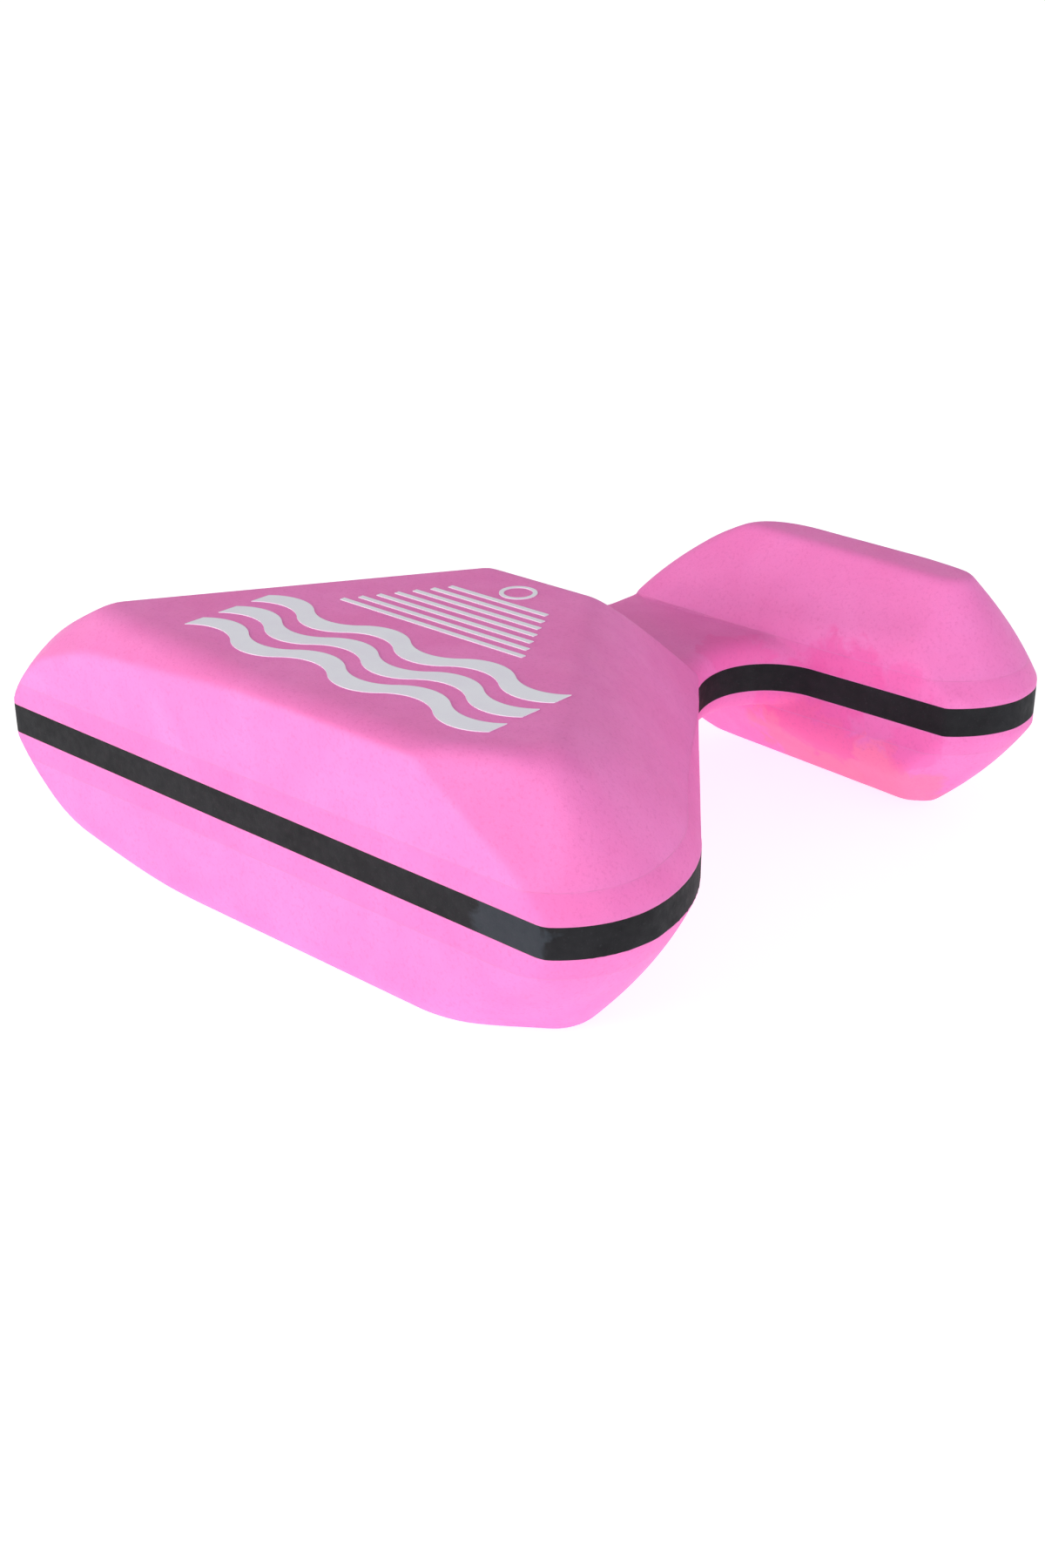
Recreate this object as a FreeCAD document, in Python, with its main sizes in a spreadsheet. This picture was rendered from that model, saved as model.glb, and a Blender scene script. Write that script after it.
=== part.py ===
import FreeCAD, Part
import math
import os
import Sketcher

# A pull buoy of laminated EVA foam.  Flat sheets make the core, which runs the whole
# length, and four thick blocks, two above and two below, make a large lobe and a small
# lobe.  Between the lobes only the core is left: a thin waist beside a deep side notch.
# Origin: the middle of the bounding box, on the floor.  +Y runs from the wide end to the
# small lobe, and +X points to the side that the notch opens to.  Lengths are millimetres.

SHEET_NAME = "Sizes"

# alias, value, meaning
SIZES = [
    # layers, in the order that they are stacked from the middle outwards
    ("black_thickness", 8.0, "black centre sheet"),
    ("film_thickness", 0.2, "one film of contact glue"),
    ("pink_thickness", 6.2, "pink sheet each side of the black one"),
    ("large_block_thickness", 23.8, "thick block, two of which make the large lobe"),
    ("small_block_thickness", 22.2, "thick block, two of which make the small lobe"),
    ("ink_thickness", 0.2, "printed ink"),
    # outline of the core, seen from above: "notch" is the notch's side, "back" the other
    ("half_length", 103.0, "wide end to small end, halved"),
    ("end_notch_x", 89.6, "straight wide end, corner on the notch's side"),
    ("end_back_x", -95.4, "straight wide end, corner on the back"),
    ("corner_notch_radius", 29.44, "round from the wide end to the widest place"),
    ("corner_back_radius", 35.0, "round from the wide end to the widest place"),
    ("bulge_notch_x", 102.0, "large lobe at its widest"),
    ("bulge_back_x", -104.0, "large lobe at its widest"),
    ("bulge_y", -79.0, "where the large lobe is widest"),
    ("shoulder_radius", 52.3, "round from the widest place to the tapered wall"),
    ("taper_notch_x", 89.4, "start of the tapered wall"),
    ("taper_notch_y", -47.0, "start of the tapered wall"),
    ("taper_back_x", -91.1, "start of the tapered wall"),
    ("taper_back_y", -44.6, "start of the tapered wall"),
    ("foot_notch_x", 37.6, "end of the tapered wall"),
    ("foot_back_x", -33.3, "end of the large blocks on the back's tapered wall"),
    ("foot_y", 20.6, "end of the tapered wall, and foot of the large blocks"),
    ("notch_near_radius", 27.7, "notch, side of the large lobe"),
    ("notch_floor_x", 31.6, "deepest place of the notch"),
    ("notch_floor_y", 37.8, "deepest place of the notch"),
    ("notch_far_radius", 18.8, "notch, side of the small lobe"),
    ("notch_far_x", 50.4, "end of the notch's round"),
    ("hook_y", 56.6, "inner edge of the small lobe, and foot of the small blocks"),
    ("hook_corner_x", 92.0, "inner corner of the small lobe"),
    ("hook_far_x", 84.0, "outer corner of the small lobe"),
    ("hook_radius", 28.4, "round end of the small lobe"),
    ("hook_tip_x", 104.0, "furthest reach of the small lobe"),
    ("hook_tip_y", 79.8, "middle of the small lobe's round end"),
    ("back_x", -15.6, "straight back of the small lobe and the waist"),
    ("back_corner", 16.0, "outer corner of the straight back"),
    ("back_start_y", 52.2, "start of the straight back"),
    ("back_blend_x", -21.6, "end of the tapered wall on the back"),
    ("back_blend_y", 34.0, "end of the tapered wall on the back"),
    ("back_blend_radius", 28.0, "round from the tapered wall to the straight back"),
    # large block: corner facets at its foot, shoulder, and flat face
    ("facet_end_notch_x", 82.4, "facet's foot on the end face"),
    ("facet_side_notch_x", 91.8, "facet's foot on the side"),
    ("facet_side_notch_y", -101.3, "facet's foot on the side"),
    ("facet_end_back_x", -91.8, "facet's foot on the end face"),
    ("facet_side_back_x", -97.4, "facet's foot on the side"),
    ("facet_side_back_y", -99.5, "facet's foot on the side"),
    ("large_shoulder_height", 20.0, "shoulder, where the upright end face stops"),
    ("large_shoulder_share", 0.72, "how far in the sides are there, of all they go"),
    ("flat_centre", 4.4, "x of the flat's centre line"),
    ("flat_near_y", -98.6, "near edge of the flat"),
    ("flat_near_half_width", 50.8, "near edge of the flat"),
    ("flat_corner_y", -86.6, "corner of the flat"),
    ("flat_corner_half_width", 74.8, "corner of the flat"),
    ("flat_side_y", -70.2, "side of the flat"),
    ("flat_side_half_width", 71.0, "side of the flat"),
    ("flat_taper_y", -50.2, "start of the flat's straight taper"),
    ("flat_taper_half_width", 57.2, "start of the flat's straight taper"),
    ("flat_far_y", -3.8, "far edge of the flat"),
    ("flat_far_half_width", 18.8, "far edge of the flat"),
    # small block: shoulder and flat face
    ("small_shoulder_height", 9.0, "shoulder, where the steep foot of the slopes stops"),
    ("small_shoulder_share", 0.24, "how far in the slopes are there, of all they go"),
    ("ridge_back_x", 13.6, "back end of the flat"),
    ("ridge_back_near_y", 78.5, "back end of the flat, inner corner"),
    ("ridge_back_far_y", 83.0, "back end of the flat, outer corner"),
    ("ridge_far_x", 20.0, "back end of the flat's outer edge"),
    ("ridge_far_y", 87.5, "outer edge of the flat"),
    ("ridge_near_y", 72.8, "notch end of the flat's inner edge"),
    ("ridge_near_x", 79.0, "notch end of the flat's edges"),
    ("ridge_tip_y", 82.6, "notch end of the flat's outer edge"),
    ("ridge_tip_x", 82.6, "tip of the flat"),
    # printed band of wavy lines across the large lobe
    ("wave_pitch", 17.0, "one half wave"),
    ("wave_radius", 13.0, "round of a half wave"),
    ("wave_width", 6.0, "width of a wavy line"),
    ("wave_centre", 8.4, "x of the band's middle"),
    ("wave_first_y", -86.0, "nearest wavy line"),
    ("wave_step", 11.0, "from one wavy line to the next"),
    # printed panel of plain bars and a ring behind the band
    ("bar_width", 1.6, "width of a bar"),
    ("bar_step", 4.2, "from one bar to the next"),
    ("bar_first_y", -48.0, "nearest bar"),
    ("bar_half_length", 31.0, "nearest bar, halved"),
    ("bar_shrink", 2.4, "each bar's half is this much shorter than the one before"),
    ("ring_y", -14.0, "ring behind the bars"),
    ("ring_outer_radius", 5.0, "ring's outside"),
    ("ring_inner_radius", 3.8, "ring's inside"),
]
WAVE_LINES = 3
WAVE_BUMPS = 6
BAR_COUNT = 7

LEFT_TURN = 1
RIGHT_TURN = -1

doc = FreeCAD.newDocument("pull_buoy")
sheet = doc.addObject("Spreadsheet::Sheet", SHEET_NAME)
for row, (alias, value, meaning) in enumerate(SIZES, start=1):
    sheet.set(f"A{row}", alias)
    sheet.set(f"B{row}", str(value))
    sheet.set(f"C{row}", meaning)
    sheet.setAlias(f"B{row}", alias)
doc.recompute()


class Size:
    """A length as a number, together with the sheet expression that drives it."""

    def __init__(self, value, text):
        self.value = value
        self.text = text

    def __add__(self, other):
        return Size(self.value + other.value, f"({self.text} + {other.text})")

    def __sub__(self, other):
        return Size(self.value - other.value, f"({self.text} - {other.text})")

    def times(self, factor):
        return Size(self.value * factor, f"({self.text} * {factor})")

    def towards(self, other, share):
        """The place a share of the way from this one to the other."""
        value = self.value + (other.value - self.value) * share.value
        text = f"({self.text} + ({other.text} - {self.text}) * {share.text})"
        return Size(value, text)


def size(alias):
    return Size(float(sheet.get(alias)), f"{SHEET_NAME}.{alias}")


# --- sketches -------------------------------------------------------------------------
# An outline is a closed list of corners (x, y, radius, turn).  The stretch from a corner
# to the next is straight when its radius is None, and otherwise an arc to the left or to
# the right of the way along the outline.

def corner(x, y, radius=None, turn=LEFT_TURN):
    return (x, y, radius, turn)


def arc_between(start, end, radius, turn):
    chord = end - start
    left = FreeCAD.Vector(-chord.y, chord.x, 0).normalize()
    rise = math.sqrt(radius ** 2 - (chord.Length / 2) ** 2)
    centre = (start + end) * 0.5 + left * rise * turn
    from_start = math.atan2(start.y - centre.y, start.x - centre.x)
    from_end = math.atan2(end.y - centre.y, end.x - centre.x)
    circle = Part.Circle(centre, FreeCAD.Vector(0, 0, 1), radius)
    if turn == LEFT_TURN:
        return Part.ArcOfCircle(circle, from_start, from_end)
    return Part.ArcOfCircle(circle, from_end, from_start)


def bind(sketch, constraint, driver):
    index = sketch.addConstraint(constraint)
    sketch.setExpression(f"Constraints[{index}]", driver.text)


def add_outline(sketch, corners):
    """Draw a closed outline, with every corner and radius bound to the sheet."""
    stretches = []
    for number, (x, y, radius, turn) in enumerate(corners):
        next_x, next_y = corners[(number + 1) % len(corners)][:2]
        start = FreeCAD.Vector(x.value, y.value, 0)
        end = FreeCAD.Vector(next_x.value, next_y.value, 0)
        if radius is None:
            geometry = Part.LineSegment(start, end)
        else:
            geometry = arc_between(start, end, radius.value, turn)
        index = sketch.addGeometry(geometry, False)
        runs_backwards = radius is not None and turn == RIGHT_TURN
        stretches.append((index, 2, 1) if runs_backwards else (index, 1, 2))
    for number, (index, start_point, _) in enumerate(stretches):
        before, _, before_end = stretches[number - 1]
        x, y, radius, _ = corners[number]
        joint = Sketcher.Constraint("Coincident", before, before_end, index, start_point)
        sketch.addConstraint(joint)
        bind(sketch, Sketcher.Constraint("DistanceX", index, start_point, x.value), x)
        bind(sketch, Sketcher.Constraint("DistanceY", index, start_point, y.value), y)
        if radius is not None:
            bind(sketch, Sketcher.Constraint("Radius", index, radius.value), radius)


def add_circle(sketch, x, y, radius):
    place = FreeCAD.Vector(x.value, y.value, 0)
    circle = Part.Circle(place, FreeCAD.Vector(0, 0, 1), radius.value)
    index = sketch.addGeometry(circle, False)
    centre_point = 3
    bind(sketch, Sketcher.Constraint("DistanceX", index, centre_point, x.value), x)
    bind(sketch, Sketcher.Constraint("DistanceY", index, centre_point, y.value), y)
    bind(sketch, Sketcher.Constraint("Radius", index, radius.value), radius)


def add_sketch(body, name, level):
    """A sketch on the body's own floor plane, raised to a level of the stack."""
    sketch = body.newObject("Sketcher::SketchObject", name)
    planes = {feature.Role: feature for feature in body.Origin.OriginFeatures}
    sketch.AttachmentSupport = [(planes["XY_Plane"], "")]
    sketch.MapMode = "FlatFace"
    sketch.setExpression(".AttachmentOffset.Base.z", level.text)
    return sketch


# --- bodies ---------------------------------------------------------------------------

def new_body(label):
    body = doc.addObject("PartDesign::Body", label)
    body.Label = label
    return body


def pad_sketch(body, sketch, thickness):
    pad = body.newObject("PartDesign::Pad", f"{body.Label}_pad")
    pad.Profile = sketch
    pad.setExpression("Length", thickness.text)
    body.Tip = pad
    return body


def layer(label, outline, level, thickness):
    """A sheet or a film: one outline, padded upwards from its lower face."""
    body = new_body(label)
    sketch = add_sketch(body, f"{label}_outline", level)
    add_outline(sketch, outline)
    return pad_sketch(body, sketch, thickness)


def block(label, levels, outlines):
    """A thick block, ruled from its foot on the core, past its shoulder, to its flat."""
    body = new_body(label)
    sections = []
    for name, level, outline in zip(("foot", "shoulder", "flat"), levels, outlines):
        sketch = add_sketch(body, f"{label}_{name}", level)
        add_outline(sketch, outline)
        sections.append(sketch)
    loft = body.newObject("PartDesign::AdditiveLoft", f"{label}_loft")
    loft.Profile = sections[0]
    loft.Sections = sections[1:]
    loft.Ruled = True
    body.Tip = loft
    return body


# --- outlines -------------------------------------------------------------------------

end_y = size("half_length").times(-1)
far_y = size("half_length")


def mirrored_flat(half):
    """Close a half outline with its mirror image about the flat's centre line.

    Each entry of the half is (half width, y), from the wide end to the waist.
    """
    centre = size("flat_centre")
    outline = [corner(centre + size(width), size(y)) for width, y in half]
    outline += [corner(centre - size(width), size(y)) for width, y in reversed(half)]
    return outline


def core_outline():
    """The whole part from above, anticlockwise from the wide end's back corner."""
    fillet = size("back_corner")
    return [
        corner(size("end_back_x"), end_y),
        corner(size("end_notch_x"), end_y, size("corner_notch_radius")),
        corner(size("bulge_notch_x"), size("bulge_y"), size("shoulder_radius")),
        corner(size("taper_notch_x"), size("taper_notch_y")),
        corner(size("foot_notch_x"), size("foot_y"), size("notch_near_radius"), RIGHT_TURN),
        corner(size("notch_floor_x"), size("notch_floor_y"), size("notch_far_radius"), RIGHT_TURN),
        corner(size("notch_far_x"), size("hook_y")),
        corner(size("hook_corner_x"), size("hook_y"), size("hook_radius")),
        corner(size("hook_tip_x"), size("hook_tip_y"), size("hook_radius")),
        corner(size("hook_far_x"), far_y),
        corner(size("back_x") + fillet, far_y, fillet),
        corner(size("back_x"), far_y - fillet),
        corner(size("back_x"), size("back_start_y"), size("back_blend_radius"), RIGHT_TURN),
        corner(size("back_blend_x"), size("back_blend_y")),
        corner(size("taper_back_x"), size("taper_back_y"), size("shoulder_radius")),
        corner(size("bulge_back_x"), size("bulge_y"), size("corner_back_radius")),
    ]


def large_foot():
    return [
        corner(size("facet_end_notch_x"), end_y),
        corner(size("facet_side_notch_x"), size("facet_side_notch_y"), size("corner_notch_radius")),
        corner(size("bulge_notch_x"), size("bulge_y"), size("shoulder_radius")),
        corner(size("taper_notch_x"), size("taper_notch_y")),
        corner(size("foot_notch_x"), size("foot_y")),
        corner(size("foot_back_x"), size("foot_y")),
        corner(size("taper_back_x"), size("taper_back_y"), size("shoulder_radius")),
        corner(size("bulge_back_x"), size("bulge_y"), size("corner_back_radius")),
        corner(size("facet_side_back_x"), size("facet_side_back_y")),
        corner(size("facet_end_back_x"), end_y),
    ]


def large_flat():
    return mirrored_flat([
        ("flat_near_half_width", "flat_near_y"),
        ("flat_corner_half_width", "flat_corner_y"),
        ("flat_side_half_width", "flat_side_y"),
        ("flat_taper_half_width", "flat_taper_y"),
        ("flat_far_half_width", "flat_far_y"),
    ])


def small_foot():
    fillet = size("back_corner")
    return [
        corner(size("back_x"), size("hook_y")),
        corner(size("hook_corner_x"), size("hook_y"), size("hook_radius")),
        corner(size("hook_tip_x"), size("hook_tip_y"), size("hook_radius")),
        corner(size("hook_far_x"), far_y),
        corner(size("back_x") + fillet, far_y, fillet),
        corner(size("back_x"), far_y - fillet),
    ]


def small_flat():
    return [
        corner(size("ridge_back_x"), size("ridge_back_near_y")),
        corner(size("ridge_near_x"), size("ridge_near_y")),
        corner(size("ridge_tip_x"), size("ridge_tip_y")),
        corner(size("ridge_near_x"), size("ridge_far_y")),
        corner(size("ridge_far_x"), size("ridge_far_y")),
        corner(size("ridge_back_x"), size("ridge_back_far_y")),
    ]


def shoulder_between(foot, flat, share):
    """The outline a share of the way in from the foot to the flat, with straight sides.

    Corners on the wide end stay on it, because that face stands upright.
    """
    outline = []
    for (x, y, _, _), (flat_x, flat_y, _, _) in zip(foot, flat):
        on_wide_end = y.text == end_y.text
        shoulder_y = y if on_wide_end else y.towards(flat_y, share)
        outline.append(corner(x.towards(flat_x, share), shoulder_y))
    return outline


def wave_outline(y):
    """One wavy line: its lower edge to the right, and its upper edge back to the left."""
    pitch = size("wave_pitch")
    lowest_x = size("wave_centre") - pitch.times(WAVE_BUMPS / 2)
    places = [lowest_x + pitch.times(number) for number in range(WAVE_BUMPS + 1)]
    upper_y = y + size("wave_width")
    outline = []
    for number, x in enumerate(places[:-1]):
        turn = RIGHT_TURN if number % 2 == 0 else LEFT_TURN
        outline.append(corner(x, y, size("wave_radius"), turn))
    outline.append(corner(places[-1], y))
    for number in range(WAVE_BUMPS, 0, -1):
        turn = LEFT_TURN if number % 2 == 1 else RIGHT_TURN
        outline.append(corner(places[number], upper_y, size("wave_radius"), turn))
    outline.append(corner(places[0], upper_y))
    return outline


def bar_outline(half_length, y):
    centre = size("flat_centre")
    upper_y = y + size("bar_width")
    return [
        corner(centre - half_length, y),
        corner(centre + half_length, y),
        corner(centre + half_length, upper_y),
        corner(centre - half_length, upper_y),
    ]


# --- the stack, from the floor up -----------------------------------------------------

film = size("film_thickness")
lower_seam = size("large_block_thickness")
lower_pink = lower_seam + film
lower_core_film = lower_pink + size("pink_thickness")
black = lower_core_film + film
upper_core_film = black + size("black_thickness")
upper_pink = upper_core_film + film
upper_seam = upper_pink + size("pink_thickness")
upper_block = upper_seam + film
top = upper_block + size("large_block_thickness")


def make_core():
    outline = core_outline()
    return [
        layer("core_black_sheet", outline, black, size("black_thickness")),
        layer("core_pink_sheet_lower", outline, lower_pink, size("pink_thickness")),
        layer("core_pink_sheet_upper", outline, upper_pink, size("pink_thickness")),
        layer("glue_film_core_lower", outline, lower_core_film, film),
        layer("glue_film_core_upper", outline, upper_core_film, film),
    ]


def make_lobe(name, foot, flat):
    """The two blocks of a lobe, with the glue films that hold them to the core."""
    thickness = size(f"{name}_block_thickness")
    height = size(f"{name}_shoulder_height")
    shoulder = shoulder_between(foot, flat, size(f"{name}_shoulder_share"))
    outlines = [foot, shoulder, flat]
    lower_levels = [lower_seam, lower_seam - height, lower_seam - thickness]
    upper_levels = [upper_block, upper_block + height, upper_block + thickness]
    return [
        block(f"{name}_block_lower", lower_levels, outlines),
        block(f"{name}_block_upper", upper_levels, outlines),
        layer(f"glue_film_{name}_lower", foot, lower_seam, film),
        layer(f"glue_film_{name}_upper", foot, upper_seam, film),
    ]


def make_wave_print():
    body = new_body("printed_waves")
    sketch = add_sketch(body, "printed_waves_outline", top)
    for number in range(WAVE_LINES):
        y = size("wave_first_y") + size("wave_step").times(number)
        add_outline(sketch, wave_outline(y))
    return pad_sketch(body, sketch, size("ink_thickness"))


def make_panel_print():
    body = new_body("printed_panel")
    sketch = add_sketch(body, "printed_panel_outline", top)
    for number in range(BAR_COUNT):
        half_length = size("bar_half_length") - size("bar_shrink").times(number)
        y = size("bar_first_y") + size("bar_step").times(number)
        add_outline(sketch, bar_outline(half_length, y))
    for radius in ("ring_outer_radius", "ring_inner_radius"):
        add_circle(sketch, size("flat_centre"), size("ring_y"), size(radius))
    return pad_sketch(body, sketch, size("ink_thickness"))


pieces = make_core()
pieces += make_lobe("large", large_foot(), large_flat())
pieces += make_lobe("small", small_foot(), small_flat())
pieces.append(make_wave_print())
pieces.append(make_panel_print())
doc.recompute()

# --- check everything, then write the pieces ------------------------------------------

for item in doc.Objects:
    if "Invalid" in item.State or "Error" in item.State:
        raise RuntimeError(f"{item.Label} did not recompute: {item.State}")
for piece in pieces:
    shape = piece.Shape
    if shape.isNull() or not shape.isValid() or not shape.Solids:
        raise RuntimeError(f"{piece.Label} has no valid solid")

os.makedirs("parts", exist_ok=True)
for piece in pieces:
    piece.Shape.exportStep(f"parts/{piece.Label}.step")
    volume_cm3 = piece.Shape.Volume / 1000
    box = piece.Shape.BoundBox
    print(f"{piece.Label:24s} {volume_cm3:8.2f} cm3  z {box.ZMin:6.2f} to {box.ZMax:6.2f}")
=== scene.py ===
import math
import bmesh
import bpy
import numpy as np
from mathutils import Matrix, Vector


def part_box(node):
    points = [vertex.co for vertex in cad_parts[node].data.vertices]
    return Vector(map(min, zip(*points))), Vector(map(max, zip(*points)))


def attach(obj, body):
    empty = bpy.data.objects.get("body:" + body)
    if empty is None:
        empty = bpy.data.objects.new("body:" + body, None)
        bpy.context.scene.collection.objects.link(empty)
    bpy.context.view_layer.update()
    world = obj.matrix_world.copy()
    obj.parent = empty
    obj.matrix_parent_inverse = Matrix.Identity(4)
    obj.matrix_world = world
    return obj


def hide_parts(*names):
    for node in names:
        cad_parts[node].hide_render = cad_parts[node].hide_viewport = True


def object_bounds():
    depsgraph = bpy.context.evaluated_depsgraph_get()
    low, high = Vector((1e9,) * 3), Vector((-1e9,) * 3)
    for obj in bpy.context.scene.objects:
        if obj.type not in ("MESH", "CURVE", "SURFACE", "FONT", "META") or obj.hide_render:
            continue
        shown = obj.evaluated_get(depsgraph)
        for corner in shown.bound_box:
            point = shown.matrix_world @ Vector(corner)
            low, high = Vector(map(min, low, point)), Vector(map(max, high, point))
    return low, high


# The looks of a laminated foam pull buoy.  One carved skin is worked out as a smooth
# solid, meshed, and then sliced into the sheets, blocks and glue films of the frame.
# Shapes are in millimetres here, in the frame's own axes, and become metres in the mesh.

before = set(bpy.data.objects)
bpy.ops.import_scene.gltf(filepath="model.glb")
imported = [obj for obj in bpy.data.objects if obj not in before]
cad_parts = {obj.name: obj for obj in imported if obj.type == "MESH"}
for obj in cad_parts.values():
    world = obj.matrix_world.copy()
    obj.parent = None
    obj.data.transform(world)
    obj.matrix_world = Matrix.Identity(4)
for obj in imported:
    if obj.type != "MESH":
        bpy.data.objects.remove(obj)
cad_box = [list(corner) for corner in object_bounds()]

MM = 0.001
SKIN_STEP = 1.2            # spacing of the grid that the skin is meshed on
UNDULATION = 0.10          # hand-buffed unevenness of the skin


def node_box(node):
    """A node's lowest and highest corners in millimetres."""
    low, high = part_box(node)
    return np.array(low) / MM, np.array(high) / MM


# --- levels and extents, from the frame -------------------------------------------------

core_low, core_high = node_box("core_black_sheet")
large_low, large_high = node_box("large_block_upper")
small_low, small_high = node_box("small_block_upper")
pink_low, pink_high = node_box("core_pink_sheet_upper")

MID_Z = (core_low[2] + core_high[2]) / 2
BLACK_TOP = core_high[2] - MID_Z
PINK_BOTTOM = pink_low[2] - MID_Z
PINK_TOP = pink_high[2] - MID_Z
BLOCK_BOTTOM = large_low[2] - MID_Z
LARGE_TOP = large_high[2] - MID_Z
SMALL_TOP = small_high[2] - MID_Z
END_Y = core_low[1]
FAR_Y = core_high[1]
FOOT_Y = large_high[1]
HOOK_Y = small_low[1]
BACK_X = small_low[0]

# --- outline of the core, seen from above -----------------------------------------------
# "notch" is the side that the notch opens to, and "back" the other one.

BULGE_Y = -79.0            # the large lobe is widest here
END_NOTCH_X = 89.6         # corners of the straight wide end
END_BACK_X = -95.4
CORNER_NOTCH_RADIUS = 29.44
CORNER_BACK_RADIUS = 35.0
SHOULDER_RADIUS = 52.3     # from the widest place to the tapered wall
TAPER_NOTCH = (89.4, -47.0)
TAPER_BACK = (-91.1, -44.6)
FOOT_NOTCH_X = 37.6
NOTCH_NEAR_RADIUS = 27.7
NOTCH_FLOOR = (31.6, 37.8)
NOTCH_FAR_RADIUS = 18.8
NOTCH_FAR_X = 50.4
HOOK_CORNER_X = 92.0
HOOK_FAR_X = 84.0
HOOK_RADIUS = 28.4
HOOK_TIP = (core_high[0], 79.8)
BACK_CORNER = 16.0
BACK_START_Y = 52.2
BACK_BLEND = (-21.6, 34.0)
BACK_BLEND_RADIUS = 28.0
ARC_STEP = math.radians(3.0)
LEFT_TURN = 1
RIGHT_TURN = -1

# Corners (x, y, radius, turn) of the core, anticlockwise; no radius means straight.
OUTLINE = [
    (END_BACK_X, END_Y, None, 0),
    (END_NOTCH_X, END_Y, CORNER_NOTCH_RADIUS, LEFT_TURN),
    (large_high[0], BULGE_Y, SHOULDER_RADIUS, LEFT_TURN),
    (*TAPER_NOTCH, None, 0),
    (FOOT_NOTCH_X, FOOT_Y, NOTCH_NEAR_RADIUS, RIGHT_TURN),
    (*NOTCH_FLOOR, NOTCH_FAR_RADIUS, RIGHT_TURN),
    (NOTCH_FAR_X, HOOK_Y, None, 0),
    (HOOK_CORNER_X, HOOK_Y, HOOK_RADIUS, LEFT_TURN),
    (*HOOK_TIP, HOOK_RADIUS, LEFT_TURN),
    (HOOK_FAR_X, FAR_Y, None, 0),
    (BACK_X + BACK_CORNER, FAR_Y, BACK_CORNER, LEFT_TURN),
    (BACK_X, FAR_Y - BACK_CORNER, None, 0),
    (BACK_X, BACK_START_Y, BACK_BLEND_RADIUS, RIGHT_TURN),
    (*BACK_BLEND, None, 0),
    (*TAPER_BACK, SHOULDER_RADIUS, LEFT_TURN),
    (large_low[0], BULGE_Y, CORNER_BACK_RADIUS, LEFT_TURN),
]


def arc_centre(start, end, radius, turn):
    """Centre of the arc that turns left or right on its way from start to end."""
    start, end = np.array(start), np.array(end)
    chord = end - start
    length = math.hypot(*chord)
    left = np.array([-chord[1], chord[0]]) / length
    rise = math.sqrt(max(radius ** 2 - (length / 2) ** 2, 0.0))
    return (start + end) / 2 + left * rise * turn


def sampled_outline():
    """The outline as one closed polygon, with each arc in short steps."""
    points = []
    for number, (x, y, radius, turn) in enumerate(OUTLINE):
        start = np.array([x, y])
        end = np.array(OUTLINE[(number + 1) % len(OUTLINE)][:2])
        points.append(start)
        if radius is None:
            continue
        centre = arc_centre(start, end, radius, turn)
        first = math.atan2(*(start - centre)[::-1])
        sweep = math.atan2(*(end - centre)[::-1]) - first
        sweep = (sweep * turn) % (2 * math.pi) * turn
        steps = max(int(abs(sweep) / ARC_STEP), 1)
        for step in range(1, steps):
            angle = first + sweep * step / steps
            points.append(centre + radius * np.array([math.cos(angle), math.sin(angle)]))
    return np.array(points)


POLYGON = sampled_outline()


def inside_polygon(x, y):
    inside = np.zeros(x.shape, bool)
    for (x0, y0), (x1, y1) in zip(POLYGON, np.roll(POLYGON, -1, axis=0)):
        if y0 == y1:
            continue
        spans = (y0 > y) != (y1 > y)
        crossing = x0 + (y - y0) * (x1 - x0) / (y1 - y0)
        inside ^= spans & (x < crossing)
    return inside


def outline_distance(x, y):
    """Signed distance to the core's outline, negative inside it."""
    nearest = np.full(x.shape, np.inf)
    for number, (x0, y0, radius, turn) in enumerate(OUTLINE):
        start = np.array([x0, y0])
        end = np.array(OUTLINE[(number + 1) % len(OUTLINE)][:2])
        if radius is None:
            along = end - start
            share = ((x - x0) * along[0] + (y - y0) * along[1]) / (along @ along)
            share = np.clip(share, 0, 1)
            distance = np.hypot(x - x0 - share * along[0], y - y0 - share * along[1])
        else:
            centre = arc_centre(start, end, radius, turn)
            middle = (start + end) / 2 - centre
            half_sweep = math.asin(math.hypot(*(end - start)) / 2 / radius)
            angle = np.arctan2(y - centre[1], x - centre[0]) - math.atan2(middle[1], middle[0])
            angle = (angle + math.pi) % (2 * math.pi) - math.pi
            off_end = np.minimum(np.hypot(x - x0, y - y0), np.hypot(x - end[0], y - end[1]))
            on_arc = np.abs(np.hypot(x - centre[0], y - centre[1]) - radius)
            distance = np.where(np.abs(angle) <= half_sweep, on_arc, off_end)
        nearest = np.minimum(nearest, distance)
    return np.where(inside_polygon(x, y), -nearest, nearest)


# --- the carved solid, as a distance that is negative inside ------------------------------
# "height" is measured up or down from the middle of the black sheet.

def smooth_max(first, second, width):
    """The larger of two distances, with the crease between them rounded over a width."""
    overlap = np.maximum(width - np.abs(first - second), 0) / width
    return np.maximum(first, second) + overlap ** 2 * width / 4


def smooth_step(value, low, high):
    share = np.clip((value - low) / (high - low), 0, 1)
    return share * share * (3 - 2 * share)


def lean(height, start, slope, curve):
    """How far a side leans in at a height, when it starts upright and curves over."""
    climb = np.maximum(height - start, 0)
    return slope * climb + curve * climb ** 2


def leans(height, upper, upper_lean, lower_lean):
    return np.where(upper, lean(height, *upper_lean), lean(height, *lower_lean))


def heading(start, end):
    return math.atan2(end[1] - start[1], end[0] - start[0])


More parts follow.
